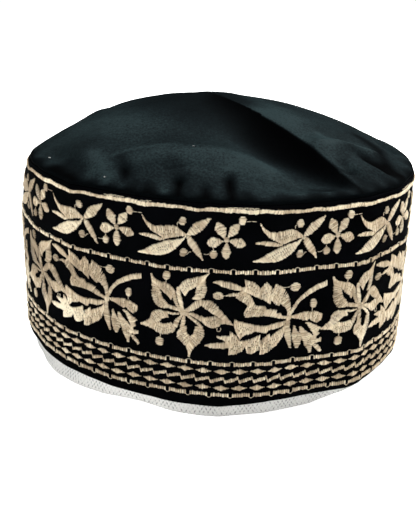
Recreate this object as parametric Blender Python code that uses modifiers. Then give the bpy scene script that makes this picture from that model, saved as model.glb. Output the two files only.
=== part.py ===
"""An oval brimless kufi cap: a stiff upright side band, a soft domed crown and a sweatband tape.

Metres, +Z up. The origin is on the floor under the middle of the cap, and the oval's long axis is X.
An angle is measured round the cap from -Y, the front, towards +X.
"""

from math import atan2, cos, exp, hypot, pi, radians, sin

import bmesh
import bpy

# Plan of the band's outer face, at its lower edge
MEAN_RADIUS = 0.0932
OVAL_HALF_SPREAD = 0.0051
TOP_DRAW_IN = 0.0012

# Heights
TAPE_PEEK = 0.0050
BAND_HEIGHT = 0.0890
BAND_TOP = TAPE_PEEK + BAND_HEIGHT
TAPE_HEIGHT = 0.0260
DOME_BASE = BAND_TOP + 0.0023
DOME_RISE = 0.0242
DOME_POWER = 1.8

# Walls, and the gap between sewn pieces
BAND_WALL = 0.0024
TAPE_WALL = 0.0016
CROWN_WALL = 0.0012
SEWN_GAP = 0.0003
EDGE_ROUND = 0.0005

# The crown's seam: how far in from the band's outer face its edge stands, and where the dome starts
SEAM_INSET = 0.0005
DOME_INSET = 0.0022

# The panel that was pressed flat in storage, between two angles of the plan
FLAT_FROM = radians(41.0)
FLAT_TO = radians(64.3)

# The corner that the band's upper edge is pushed out to
CORNER_ANGLE = radians(-16.7)
CORNER_OUT = 0.0045
CORNER_SPREAD = radians(8.0)

# The place behind the left side where the band's upper edge has slumped inwards and down
SLUMP_ANGLE = radians(-79.0)
SLUMP_SPREAD = radians(27.0)
SLUMP_IN = 0.0120
SLUMP_DOWN = 0.0025
SLUMP_POWER = 6

# The stretch where the tape is tucked up under the band
TUCK_ANGLE = radians(92.0)
TUCK_SPREAD = radians(34.0)
TUCK_UP = 0.0036

# The crown's storage crease, along a diameter of the cap, with the cloth fallen away on its front side
CREASE_ANGLE = radians(66.3)
CREASE_DROP = 0.0058
CREASE_DROP_LENGTH = 0.0030
CREASE_RECOVERY = 0.0260
CREASE_MIDDLE = 0.0550
CREASE_HALF_LENGTH = 0.0520

# Other folds of the crown. angle and share place the middle, share being of the way out to the seam.
FOLD_COLUMNS = ("angle", "share", "heading", "half_length", "half_width", "height")
FOLDS = {
    "front_roll": (20, 0.60, 110, 0.042, 0.009, 0.0022),
    "front_left_roll": (-22, 0.62, 72, 0.026, 0.009, 0.0016),
    "left_hollow": (-44, 0.76, 30, 0.022, 0.012, -0.0034),
    "front_hollow": (8, 0.86, 100, 0.009, 0.006, -0.0014),
    "right_roll": (100, 0.74, 82, 0.020, 0.006, 0.0018),
    "right_hollow": (106, 0.88, 100, 0.012, 0.005, -0.0020),
}

# Fineness
SECTORS = 84
DOME_RINGS = 15
BAND_LEVELS = 7
MERGE = 0.00001

COLOURS = {
    "crown": ((0.012, 0.017, 0.018, 1.0), 0.62),
    "side_band": ((0.006, 0.007, 0.010, 1.0), 0.90),
    "sweatband": ((0.78, 0.79, 0.78, 1.0), 0.85),
}


def oval_radius(angle):
    return MEAN_RADIUS - OVAL_HALF_SPREAD * cos(2 * angle)


def flattened_radius(angle):
    """The oval, cut straight across between FLAT_FROM and FLAT_TO."""
    if not FLAT_FROM < angle < FLAT_TO:
        return oval_radius(angle)
    first, last = oval_radius(FLAT_FROM), oval_radius(FLAT_TO)
    x1, y1 = first * sin(FLAT_FROM), first * cos(FLAT_FROM)
    x2, y2 = last * sin(FLAT_TO), last * cos(FLAT_TO)
    across, along = y2 - y1, x1 - x2
    return (across * x1 + along * y1) / (across * sin(angle) + along * cos(angle))


def turn_between(angle, other):
    """How far angle is from other, the short way round."""
    return abs((angle - other + pi) % (2 * pi) - pi)


def height_share(z):
    return min(max((z - TAPE_PEEK) / BAND_HEIGHT, 0.0), 1.0)


def slump(angle, z):
    """0 where the band stands up, 1 where its upper edge has slumped most."""
    near = exp(-((turn_between(angle, SLUMP_ANGLE) / SLUMP_SPREAD) ** 2))
    return near * height_share(z) ** SLUMP_POWER


def outer_radius(angle, z):
    """The band's outer face at a height."""
    share = height_share(z)
    corner = CORNER_OUT * share**2 * exp(-turn_between(angle, CORNER_ANGLE) / CORNER_SPREAD)
    return flattened_radius(angle) + corner - TOP_DRAW_IN * share - SLUMP_IN * slump(angle, z)


def fold_height(x, y, row):
    """A long soft mound or hollow, from one row of FOLDS."""
    fold = dict(zip(FOLD_COLUMNS, row))
    angle, heading = radians(fold["angle"]), radians(fold["heading"])
    middle = fold["share"] * outer_radius(angle, BAND_TOP)
    dx, dy = x - middle * sin(angle), y + middle * cos(angle)
    along = (dx * sin(heading) - dy * cos(heading)) / fold["half_length"]
    across = (dx * cos(heading) + dy * sin(heading)) / fold["half_width"]
    return fold["height"] * exp(-(along**2) - across**2)


def crease_height(x, y):
    """The step down at the storage crease, which is sharp on its front side and then recovers."""
    along = x * sin(CREASE_ANGLE) - y * cos(CREASE_ANGLE)
    across = x * cos(CREASE_ANGLE) + y * sin(CREASE_ANGLE)
    if across >= 0:
        return 0.0
    depth = CREASE_DROP * exp(-(((along - CREASE_MIDDLE) / CREASE_HALF_LENGTH) ** 2))
    return -depth * (1 - exp(across / CREASE_DROP_LENGTH)) * exp(across / CREASE_RECOVERY)


def dome_height(x, y, share):
    """How far the crown's cloth stands above the dome's base."""
    free = min(1.0, (1 - share) / 0.12)
    folds = sum(fold_height(x, y, row) for row in FOLDS.values())
    return DOME_RISE * (1 - share**DOME_POWER) + free * (crease_height(x, y) + folds)


def turned(name, profile, closed):
    """A profile of (radius, height) turned round Z, as a new object with a plain mesh."""
    count = len(profile)
    edges = [(i, i + 1) for i in range(count - 1)] + ([(count - 1, 0)] if closed else [])
    outline = bpy.data.meshes.new(name)
    outline.from_pydata([(radius, 0.0, height) for radius, height in profile], edges, [])
    guide = bpy.data.objects.new(name + "_profile", outline)
    bpy.context.scene.collection.objects.link(guide)
    guide.rotation_euler.z = CREASE_ANGLE - pi / 2
    screw = guide.modifiers.new("turn", "SCREW")
    screw.steps = screw.render_steps = SECTORS
    screw.use_merge_vertices = True
    screw.merge_threshold = MERGE
    screw.use_smooth_shade = True
    bpy.context.view_layer.update()
    graph = bpy.context.evaluated_depsgraph_get()
    mesh = bpy.data.meshes.new_from_object(guide.evaluated_get(graph))
    mesh.transform(guide.matrix_world)
    bpy.data.objects.remove(guide)
    piece = bpy.data.objects.new(name, mesh)
    kufi.objects.link(piece)
    return piece


def reshape(piece, place):
    """Moves each point of a turned piece. place takes its radius, angle and height."""
    for vertex in piece.data.vertices:
        x, y, z = vertex.co
        vertex.co = place(hypot(x, y), atan2(x, -y), z)
    tidy = bmesh.new()
    tidy.from_mesh(piece.data)
    bmesh.ops.remove_doubles(tidy, verts=tidy.verts, dist=MERGE)
    bmesh.ops.recalc_face_normals(tidy, faces=tidy.faces)
    tidy.to_mesh(piece.data)
    tidy.free()


def polar(radius, angle, z):
    return radius * sin(angle), -radius * cos(angle), z


def finish(piece):
    """The piece's own material, smooth faces and sharp edges."""
    colour, roughness = COLOURS[piece.name]
    material = bpy.data.materials.new(piece.name)
    material.use_nodes = True
    shader = material.node_tree.nodes["Principled BSDF"]
    shader.inputs["Base Color"].default_value = colour
    shader.inputs["Roughness"].default_value = roughness
    piece.data.materials.append(material)
    piece.data.shade_smooth()
    piece.data.set_sharp_from_angle(angle=radians(40))


def wall_section(low, high, inset, thick, levels):
    """A closed upright wall section with rounded edges, up its outer side and down its inner one.
    The first value of each point is how far it lies outside the band's outer face."""
    heights = [low + EDGE_ROUND + (high - low - 2 * EDGE_ROUND) * i / (levels - 1) for i in range(levels)]
    corner = EDGE_ROUND * 0.7
    outer = [(-inset, z) for z in heights]
    crest = [(-inset - corner, high), (-inset - thick + corner, high)]
    inner = [(-inset - thick, z) for z in reversed(heights)]
    foot = [(-inset - thick + corner, low), (-inset - corner, low)]
    return outer + crest + inner + foot


def wall(name, section, lift):
    """An upright wall that follows the plan at every height."""
    piece = turned(name, [(MEAN_RADIUS + out, z) for out, z in section], closed=True)

    def place(radius, angle, z):
        return polar(outer_radius(angle, z) + radius - MEAN_RADIUS, angle, z + lift(angle, z))

    reshape(piece, place)
    finish(piece)
    return piece


def side_band():
    """The stiffened band of cloth, with its turned upper and lower edges."""
    section = wall_section(TAPE_PEEK, BAND_TOP, 0.0, BAND_WALL, BAND_LEVELS)
    return wall("side_band", section, lambda angle, z: -SLUMP_DOWN * slump(angle, z))


def sweatband():
    """The woven tape inside the rim. It peeks out below the band, and the cap rests on it."""

    def lift(angle, z):
        tuck = TUCK_UP * exp(-((turn_between(angle, TUCK_ANGLE) / TUCK_SPREAD) ** 4))
        return tuck * max(0.0, 1 - z / TAPE_PEEK)

    section = wall_section(0.0, TAPE_HEIGHT, BAND_WALL + SEWN_GAP, TAPE_WALL, 3)
    return wall("sweatband", section, lift)


def crown():
    """One soft piece of cloth, domed and creased. Its edge is sewn down on the band's upper edge."""
    dome_edge = MEAN_RADIUS - DOME_INSET
    seam = MEAN_RADIUS - SEAM_INSET
    rings = [dome_edge * (1 - i / DOME_RINGS) for i in range(DOME_RINGS + 1)]
    profile = [(radius, DOME_BASE) for radius in reversed(rings)]
    profile += [(seam, DOME_BASE - 0.0010), (seam, BAND_TOP + SEWN_GAP)]
    piece = turned("crown", profile, closed=False)

    def place(radius, angle, z):
        edge = outer_radius(angle, BAND_TOP)
        down = SLUMP_DOWN * slump(angle, BAND_TOP)
        if radius > dome_edge + MERGE:
            return polar(edge + radius - MEAN_RADIUS, angle, z - down)
        share = radius / dome_edge
        x, y, _ = polar(share * (edge - DOME_INSET), angle, 0.0)
        return x, y, z + dome_height(x, y, share) - down * share**3

    reshape(piece, place)
    shell = piece.modifiers.new("cloth", "SOLIDIFY")
    shell.thickness = CROWN_WALL
    shell.offset = -1.0
    finish(piece)
    return piece


def centre(pieces):
    """Moves the cap so that the origin is under the middle of its bounding box."""
    points = [v.co for piece in pieces for v in piece.data.vertices]
    middle = [(min(p[i] for p in points) + max(p[i] for p in points)) / 2 for i in range(2)]
    for piece in pieces:
        for vertex in piece.data.vertices:
            vertex.co.x -= middle[0]
            vertex.co.y -= middle[1]
    print("moved by", [round(-m * 1000, 3) for m in middle], "mm")


for old in list(bpy.data.objects):
    bpy.data.objects.remove(old)
kufi = bpy.data.collections.new("kufi_cap")
bpy.context.scene.collection.children.link(kufi)
centre([side_band(), crown(), sweatband()])
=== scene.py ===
# Embroidered kufi cap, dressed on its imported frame. Metres, +Z up, the cap's long axis along X.
import math

import bpy
import numpy as np
from mathutils import Euler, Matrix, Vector


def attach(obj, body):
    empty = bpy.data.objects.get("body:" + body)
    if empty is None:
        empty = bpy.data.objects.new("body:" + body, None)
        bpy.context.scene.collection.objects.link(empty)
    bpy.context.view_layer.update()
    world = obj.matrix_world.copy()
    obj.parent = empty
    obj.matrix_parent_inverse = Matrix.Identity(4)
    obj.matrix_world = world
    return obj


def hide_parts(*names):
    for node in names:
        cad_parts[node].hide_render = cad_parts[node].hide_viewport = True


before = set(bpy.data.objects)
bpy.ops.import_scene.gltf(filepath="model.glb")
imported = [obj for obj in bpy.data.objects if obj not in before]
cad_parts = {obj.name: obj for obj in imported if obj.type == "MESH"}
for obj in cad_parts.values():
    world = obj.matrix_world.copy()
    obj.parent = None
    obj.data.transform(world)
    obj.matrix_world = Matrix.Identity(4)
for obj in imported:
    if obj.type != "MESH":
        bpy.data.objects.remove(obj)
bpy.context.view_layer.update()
mm = 0.001
dice = np.random.default_rng(41)


# The cap's plan, the same as the solids have. Millimetres and degrees, angles from -Y towards +X.
plan = {
    "meanRadius": 93.2,
    "ovalHalfSpread": 5.1,
    "topDrawIn": 1.2,
    "bandBottom": 5.0,
    "bandTop": 94.0,
    "flatFrom": 41.0,
    "flatTo": 64.3,
    "cornerAngle": -16.7,
    "cornerSpread": 8.0,
    "cornerOut": 4.5,
    "slumpAngle": -79.0,
    "slumpSpread": 27.0,
    "slumpIn": 12.0,
    "slumpDown": 2.5,
    "slumpPower": 6,
    "foldAngle": 68.6,
    "foldOut": 1.5,
    "foldBefore": 9.0,
    "foldAfter": 2.8,
    "foldTall": 30.0,
    "leanAngle": -66.0,
    "leanSpread": 30.0,
    "leanIn": 3.4,
    "leanOut": 1.0,
    "lift": 3.0,
    "frontAngle": 24.3,  # the photograph's side: distances along the band start here
}


def turnBetween(angle, other):
    return np.abs((angle - other + 180) % 360 - 180)


def ovalRadius(angle):
    return plan["meanRadius"] - plan["ovalHalfSpread"] * np.cos(np.radians(2 * angle))


def flattenedRadius(angle):
    angle = (np.asarray(angle, float) + 180) % 360 - 180
    start, stop = math.radians(plan["flatFrom"]), math.radians(plan["flatTo"])
    first, last = ovalRadius(plan["flatFrom"]), ovalRadius(plan["flatTo"])
    x1, y1 = first * math.sin(start), first * math.cos(start)
    x2, y2 = last * math.sin(stop), last * math.cos(stop)
    across, along = y2 - y1, x1 - x2
    turn = np.radians(angle)
    chord = (across * x1 + along * y1) / (across * np.sin(turn) + along * np.cos(turn))
    onFlat = (angle > plan["flatFrom"]) & (angle < plan["flatTo"])
    return np.where(onFlat, chord, ovalRadius(angle))


def heightShare(z):
    return np.clip((z - plan["bandBottom"]) / (plan["bandTop"] - plan["bandBottom"]), 0, 1)


def slump(angle, z):
    near = np.exp(-((turnBetween(angle, plan["slumpAngle"]) / plan["slumpSpread"]) ** 2))
    return near * heightShare(z) ** plan["slumpPower"]


def outerRadius(angle, z):
    share = heightShare(z)
    fromCorner = turnBetween(angle, plan["cornerAngle"]) / plan["cornerSpread"]
    corner = plan["cornerOut"] * share**2 * np.exp(-fromCorner)
    near = np.exp(-((turnBetween(angle, plan["leanAngle"]) / plan["leanSpread"]) ** 2))
    lean = near * (plan["leanOut"] * share - plan["leanIn"] * (1 - share))
    past = (np.asarray(angle, float) - plan["foldAngle"] + 180) % 360 - 180
    fold = np.exp(-((past / np.where(past < 0, plan["foldBefore"], plan["foldAfter"])) ** 2))
    fold = fold * plan["foldOut"] * np.clip((plan["bandTop"] - z) / plan["foldTall"], 0, 1)
    drawnIn = plan["topDrawIn"] * share + plan["slumpIn"] * slump(angle, z)
    return flattenedRadius(angle) + corner + lean + fold - drawnIn


# Distance along the band at half height, in mm, from the photographed front and rising to the right
ringAngles = np.linspace(-180, 180, 3601) + plan["frontAngle"]
ringRadii = outerRadius(ringAngles, 50.0)
ringX, ringY = ringRadii * np.sin(np.radians(ringAngles)), -ringRadii * np.cos(np.radians(ringAngles))
ringRun = np.concatenate([[0], np.cumsum(np.hypot(np.diff(ringX), np.diff(ringY)))])
girth = float(ringRun[-1])
ringRun -= np.interp(plan["frontAngle"], ringAngles, ringRun)
print("girth of the band", round(girth, 1), "mm")


def angleAt(run):
    return np.interp((run - ringRun[0]) % girth + ringRun[0], ringRun, ringAngles)


# Small unevenness of the stitched cloth: rows are waves a turn, waves up the band, height in mm and phase
clothWaves = (
    (9, 0.6, 0.28, 0.4),
    (14, -1.1, 0.20, 2.1),
    (23, 1.7, 0.14, 4.0),
    (37, -2.3, 0.08, 1.3),
)


def clothUnevenness(run, z):
    turn = 2 * math.pi * run / girth
    rise = 2 * math.pi * z / 89
    return sum(height * np.sin(waves * turn + up * rise + phase) for waves, up, height, phase in clothWaves)


def onBand(run, z, out):
    # run along the band, z up it, out from its cloth, all in mm; gives metres. The worn tape holds the band
    # up by the lift, which grows from the floor to the hem.
    angle = angleAt(run)
    radius = outerRadius(angle, z) + clothUnevenness(run, z) + out
    up = plan["lift"] * np.clip(z / plan["bandBottom"], 0, 1) - plan["slumpDown"] * slump(angle, z)
    turn = np.radians(angle)
    return np.stack([radius * np.sin(turn), -radius * np.cos(turn), z + up], axis=-1) * mm


def deselectAll():
    bpy.ops.object.select_all(action="DESELECT")


def wrapSheet(name, around, up, place, clothMap, closedUp):
    # a flat grid is wrapped once round the cap: place and clothMap take two arrays of 0 to 1, round and up
    deselectAll()
    bpy.ops.mesh.primitive_grid_add(x_subdivisions=around, y_subdivisions=up, size=1)
    piece = bpy.context.object
    piece.name = piece.data.name = name
    mesh = piece.data
    flat = np.empty(len(mesh.vertices) * 3)
    mesh.vertices.foreach_get("co", flat)
    flat = np.clip(flat.reshape(-1, 3) + 0.5, 0, 1)
    u, v = flat[:, 0], flat[:, 1]
    corners = np.empty(len(mesh.loops), int)
    mesh.loops.foreach_get("vertex_index", corners)
    mesh.uv_layers.active.data.foreach_set("uv", np.stack(clothMap(u, v), axis=-1)[corners].ravel())
    mesh.vertices.foreach_set("co", place(u, v).ravel())
    bpy.ops.object.mode_set(mode="EDIT")
    bpy.ops.mesh.select_all(action="SELECT")
    bpy.ops.mesh.remove_doubles(threshold=0.000005)
    bpy.ops.mesh.normals_make_consistent(inside=False)
    bpy.ops.object.mode_set(mode="OBJECT")
    bpy.ops.object.shade_smooth()
    return piece


def dress(piece, material, slotName, *nodes):
    piece.data.materials.clear()
    piece.data.materials.append(material)
    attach(piece, "root")
    if nodes:
        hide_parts(*nodes)


# Materials. An effect that several of them share is a node group.
def newGroup(name, inputs, outputs):
    group = bpy.data.node_groups.new(name, "ShaderNodeTree")
    for socket, value in inputs.items():
        kind = "NodeSocketVector" if value is None else "NodeSocketFloat"
        item = group.interface.new_socket(name=socket, in_out="INPUT", socket_type=kind)
        if value is not None:
            item.default_value = value
    for socket in outputs:
        group.interface.new_socket(name=socket, in_out="OUTPUT", socket_type="NodeSocketFloat")
    return group, group.nodes.new("NodeGroupInput"), group.nodes.new("NodeGroupOutput")


def mathNode(tree, kind, first, second=None, third=None):
    node = tree.nodes.new("ShaderNodeMath")
    node.operation = kind
    for socket, value in zip(node.inputs, (first, second, third)):
        if value is None:
            continue
        if isinstance(value, (int, float)):
            socket.default_value = value
        else:
            tree.links.new(value, socket)
    return node.outputs[0]


def noiseNode(tree, where, scale, detail, roughness=0.55):
    node = tree.nodes.new("ShaderNodeTexNoise")
    node.inputs["Scale"].default_value = scale
    node.inputs["Detail"].default_value = detail
    node.inputs["Roughness"].default_value = roughness
    tree.links.new(where, node.inputs["Vector"])
    return node.outputs["Fac"]


def makeWeaveGroup():
    # threads over and under, on a map in metres: Pitch is the threads' spacing, Slant the twill's shift
    sockets = {"Map": None, "Pitch": 0.0004, "Slant": 0.0}
    group, inputs, outputs = newGroup("clothWeave", sockets, ("Height",))
    split = group.nodes.new("ShaderNodeSeparateXYZ")
    group.links.new(inputs.outputs["Map"], split.inputs[0])
    across = mathNode(group, "DIVIDE", split.outputs["X"], inputs.outputs["Pitch"])
    up = mathNode(group, "DIVIDE", split.outputs["Y"], inputs.outputs["Pitch"])
    warp = mathNode(group, "SINE", mathNode(group, "MULTIPLY", across, math.pi))
    shifted = mathNode(group, "ADD", up, mathNode(group, "MULTIPLY", across, inputs.outputs["Slant"]))
    weft = mathNode(group, "SINE", mathNode(group, "MULTIPLY", shifted, math.pi))
    crossing = mathNode(group, "MULTIPLY", warp, weft)
    height = mathNode(group, "MULTIPLY_ADD", crossing, 0.5, 0.5)
    group.links.new(height, outputs.inputs["Height"])
    return group


def makeFuzzGroup():
    # fine soft mottling of brushed cloth, at two sizes
    sockets = {"Place": None, "Fine": 2600.0, "Broad": 90.0}
    group, inputs, outputs = newGroup("clothFuzz", sockets, ("Grain", "Cloud"))
    fine = group.nodes.new("ShaderNodeTexNoise")
    fine.inputs["Detail"].default_value = 3.0
    fine.inputs["Roughness"].default_value = 0.7
    broad = group.nodes.new("ShaderNodeTexNoise")
    broad.inputs["Detail"].default_value = 2.0
    for node, socket, out in ((fine, "Fine", "Grain"), (broad, "Broad", "Cloud")):
        group.links.new(inputs.outputs["Place"], node.inputs["Vector"])
        group.links.new(inputs.outputs[socket], node.inputs["Scale"])
        group.links.new(node.outputs["Fac"], outputs.inputs[out])
    return group


clothWeave = makeWeaveGroup()
clothFuzz = makeFuzzGroup()


def newMaterial(name):
    material = bpy.data.materials.new(name)
    material.use_nodes = True
    tree = material.node_tree
    return material, tree, tree.nodes["Principled BSDF"]


def placed(tree, group, links, values):
    node = tree.nodes.new("ShaderNodeGroup")
    node.node_tree = group
    for socket, source in links.items():
        tree.links.new(source, node.inputs[socket])
    for socket, value in values.items():
        node.inputs[socket].default_value = value
    return node


def colourRamp(tree, factor, stops):
    node = tree.nodes.new("ShaderNodeValToRGB")
    ramp = node.color_ramp
    while len(ramp.elements) < len(stops):
        ramp.elements.new(0.5)
    for element, (position, colour) in zip(ramp.elements, stops):
        element.position = position
        element.color = (*colour, 1.0)
    tree.links.new(factor, node.inputs["Fac"])
    return node.outputs["Color"]


def bumped(tree, shader, height, strength, distance):
    bump = tree.nodes.new("ShaderNodeBump")
    bump.inputs["Strength"].default_value = strength
    bump.inputs["Distance"].default_value = distance
    tree.links.new(height, bump.inputs["Height"])
    tree.links.new(bump.outputs["Normal"], shader.inputs["Normal"])


bandLook = {"dark": (0.0001, 0.0002, 0.0003), "light": (0.0013, 0.0015, 0.0021), "roughness": 0.85}


def makeBandMaterial():
    material, tree, shader = newMaterial("blackCottonSateen")
    where = tree.nodes.new("ShaderNodeTexCoord")
    weave = placed(tree, clothWeave, {"Map": where.outputs["UV"]}, {"Pitch": 0.00038, "Slant": 0.25})
    fuzz = placed(tree, clothFuzz, {"Place": where.outputs["Object"]}, {"Fine": 1700.0, "Broad": 60.0})
    wearAndPaintedLight = mathNode(tree, "MULTIPLY_ADD", fuzz.outputs["Cloud"], 0.6, mathNode(tree, "MULTIPLY", fuzz.outputs["Grain"], 0.4))
    tree.links.new(colourRamp(tree, wearAndPaintedLight, ((0.3, bandLook["dark"]), (0.75, bandLook["light"]))), shader.inputs["Base Color"])
    shader.inputs["Roughness"].default_value = bandLook["roughness"]
    shader.inputs["Specular IOR Level"].default_value = 0.008
    height = mathNode(tree, "MULTIPLY_ADD", weave.outputs["Height"], 0.5, fuzz.outputs["Grain"])
    bumped(tree, shader, height, 0.35, 0.00012)
    return material


crownLook = {
    # deep is painted shadow, black the cloth's own colour, and the third stop painted light
    "deep": (0.00005, 0.0001, 0.0002),
    "black": (0.0031, 0.0050, 0.0058),
    "paintedLightAndShade": (0.0124, 0.0205, 0.0222),
    "roughness": 0.45,
}


def makeCrownMaterial():
    material, tree, shader = newMaterial("brushedBlackSateen")
    where = tree.nodes.new("ShaderNodeTexCoord")
    # The crown's colour is painted light and shade: a vertex attribute takes it from painted shadow through the cloth's
    # own black to painted light, speckled by random mottle; it also sets the roughness.
    paintedLighting = tree.nodes.new("ShaderNodeAttribute")
    paintedLighting.attribute_name = "paintedLighting"
    weave = placed(tree, clothWeave, {"Map": where.outputs["Object"]}, {"Pitch": 0.00030, "Slant": 0.5})
    fuzz = placed(tree, clothFuzz, {"Place": where.outputs["Object"]}, {"Fine": 1000.0, "Broad": 45.0})
    mottle = mathNode(tree, "MULTIPLY_ADD", fuzz.outputs["Grain"], 0.9, mathNode(tree, "MULTIPLY", fuzz.outputs["Cloud"], 0.3))
    speckled = mathNode(tree, "MULTIPLY_ADD", mottle, 2.4, -0.44)
    wearAndPaintedLight = mathNode(tree, "MULTIPLY", paintedLighting.outputs["Fac"], speckled)
    stops = ((0.0, crownLook["deep"]), (0.4, crownLook["black"]), (0.9, crownLook["paintedLightAndShade"]))
    tree.links.new(colourRamp(tree, wearAndPaintedLight, stops), shader.inputs["Base Color"])
    rough = mathNode(tree, "MULTIPLY_ADD", paintedLighting.outputs["Fac"], -0.35, crownLook["roughness"] + 0.35)
    tree.links.new(rough, shader.inputs["Roughness"])
    shader.inputs["Specular IOR Level"].default_value = 0.006
    height = mathNode(tree, "MULTIPLY_ADD", weave.outputs["Height"], 0.4, fuzz.outputs["Grain"])
    bumped(tree, shader, height, 0.5, 0.00014)
    return material


tapeLook = {
    "thread": (0.84, 0.84, 0.82),
    "gap": (0.31, 0.32, 0.32),
    "pitch": 0.0014,
    "rib": 0.0036,
    "cell": 0.0010,
    # painted light and shade along the tape: run round the rim in mm, and how much of the tape's colour shows there
    "paintedShadeAround": ((-150, 0.79), (-90, 1.0), (-40, 1.0), (-19, 0.93), (-8, 0.80), (4, 0.72), (60, 0.68), (90, 0.68),
                  (140, 0.79)),
}


def makeTapeMaterial():
    # herringbone: the twill's slant turns round with each rib along the tape
    material, tree, shader = newMaterial("whiteHerringboneTape")
    where = tree.nodes.new("ShaderNodeTexCoord")
    split = tree.nodes.new("ShaderNodeSeparateXYZ")
    tree.links.new(where.outputs["UV"], split.inputs[0])
    zigzag = mathNode(tree, "PINGPONG", split.outputs["X"], tapeLook["rib"] / 2)
    slanted = mathNode(tree, "ADD", mathNode(tree, "MULTIPLY", zigzag, 1.0), split.outputs["Y"])
    wave = mathNode(tree, "SINE", mathNode(tree, "MULTIPLY", slanted, 2 * math.pi / tapeLook["pitch"]))
    height = mathNode(tree, "MULTIPLY_ADD", wave, 0.5, 0.5)
    fuzz = placed(tree, clothFuzz, {"Place": where.outputs["Object"]}, {"Fine": 2200.0, "Broad": 80.0})
    weave = placed(tree, clothWeave, {"Map": where.outputs["UV"]}, {"Pitch": tapeLook["cell"], "Slant": 0.0})
    both = mathNode(tree, "MULTIPLY_ADD", weave.outputs["Height"], 0.55, mathNode(tree, "MULTIPLY", height, 0.35))
    shade = mathNode(tree, "MULTIPLY_ADD", fuzz.outputs["Grain"], 0.2, both)
    woven = colourRamp(tree, shade, ((0.16, tapeLook["gap"]), (0.48, tapeLook["thread"])))
    around = mathNode(tree, "DIVIDE", split.outputs["X"], girth * mm)
    # painted shade round the rim: lighter on the left, darker in front and on the right
    paintedShadeRamp = colourRamp(tree, around, [(0.5 + run / girth, (share,) * 3) for run, share in tapeLook["paintedShadeAround"]])
    toned = tree.nodes.new("ShaderNodeVectorMath")
    toned.operation = "MULTIPLY"
    tree.links.new(woven, toned.inputs[0])
    tree.links.new(paintedShadeRamp, toned.inputs[1])
    tree.links.new(toned.outputs["Vector"], shader.inputs["Base Color"])
    shader.inputs["Roughness"].default_value = 0.8
    shader.inputs["Sheen Weight"].default_value = 0.1
    bumped(tree, shader, mathNode(tree, "MULTIPLY_ADD", fuzz.outputs["Grain"], 0.3, both), 0.8, 0.0004)
    return material


threadLook = {
    "shade": (0.270, 0.205, 0.130),
    "middle": (0.520, 0.405, 0.268),
    "light": (0.860, 0.770, 0.585),
    "roughness": 0.62,
    "sheen": 0.12,
}


def makeThreadMaterial():
    # each stitch has a tone of its own, and fine mottling lies over the thread
    material, tree, shader = newMaterial("beigeEmbroideryThread")
    where = tree.nodes.new("ShaderNodeTexCoord")
    # the tone is random, with painted highlights and painted shade added
    tone = tree.nodes.new("ShaderNodeAttribute")
    tone.attribute_name = "tone"
    fuzz = placed(tree, clothFuzz, {"Place": where.outputs["Object"]}, {"Fine": 2400.0, "Broad": 70.0})
    mixed = mathNode(tree, "MULTIPLY_ADD", fuzz.outputs["Grain"], 0.35, mathNode(tree, "MULTIPLY", tone.outputs["Fac"], 0.65))
    mixed = mathNode(tree, "MULTIPLY_ADD", fuzz.outputs["Cloud"], 0.25, mathNode(tree, "MULTIPLY", mixed, 0.85))
    stops = ((0.22, threadLook["shade"]), (0.46, threadLook["middle"]), (0.78, threadLook["light"]))
    tree.links.new(colourRamp(tree, mixed, stops), shader.inputs["Base Color"])
    shader.inputs["Roughness"].default_value = threadLook["roughness"]
    shader.inputs["Sheen Weight"].default_value = threadLook["sheen"]
    shader.inputs["Specular IOR Level"].default_value = 0.3
    bumped(tree, shader, fuzz.outputs["Grain"], 0.4, 0.00010)
    return material


bandMaterial = makeBandMaterial()
crownMaterial = makeCrownMaterial()
tapeMaterial = makeTapeMaterial()
threadMaterial = makeThreadMaterial()
print("materials made")


# The cloth of the band: one long strip, out over its top edge and down inside. Rows are out and height, in mm.
bandCloth = {
    "around": 440,
    "up": 90,
    "section": (
        (0.0, 5.6), (0.0, 93.2), (-0.25, 93.75), (-0.75, 94.05), (-1.5, 94.1), (-2.1, 93.8), (-2.4, 93.1),
        (-2.4, 5.7), (-2.1, 5.15), (-1.2, 5.0), (-0.35, 5.1), (0.0, 5.6),
    ),
    "steps": (0, 52, 55, 58, 61, 64, 67, 84, 86, 87, 88, 90),
    "hem": (
        (-130, 0.0), (-100, 0.5), (-80, 1.1), (-72, 1.4), (-62, 0.7), (-36, 1.1), (-27, 1.6),
        (-19, 2.1), (7, 2.1),
        (13, 1.2), (28, 0.0), (55, -0.3), (64, -0.9), (80, -1.2), (90, -2.2), (106, -0.8), (130, 0.0),
    ),
}


def bandPlace(u, v):
    # v goes along the section in equal steps of the grid; the hem hangs lower in front, by run and mm
    out, height = np.array(bandCloth["section"]).T
    stops = np.array(bandCloth["steps"]) / bandCloth["up"]
    run, height = (u - 0.5) * girth, np.interp(v, stops, height)
    places = onBand(run, height, np.interp(v, stops, out))
    hem = np.interp(run, *np.array(bandCloth["hem"]).T) * np.clip((8.2 - height) / 2.4, 0, 1)
    places[:, 2] -= hem * mm
    return places


def bandMap(u, v):
    stops = np.array(bandCloth["steps"]) / bandCloth["up"]
    out, height = np.array(bandCloth["section"]).T
    length = np.concatenate([[0], np.cumsum(np.hypot(np.diff(out), np.diff(height)))])
    return u * girth * mm, np.interp(v, stops, length) * mm


bandPiece = wrapSheet("bandCloth", bandCloth["around"], bandCloth["up"], bandPlace, bandMap, True)
dress(bandPiece, bandMaterial, "band_cloth", "side_band")
print("band cloth made")


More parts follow.
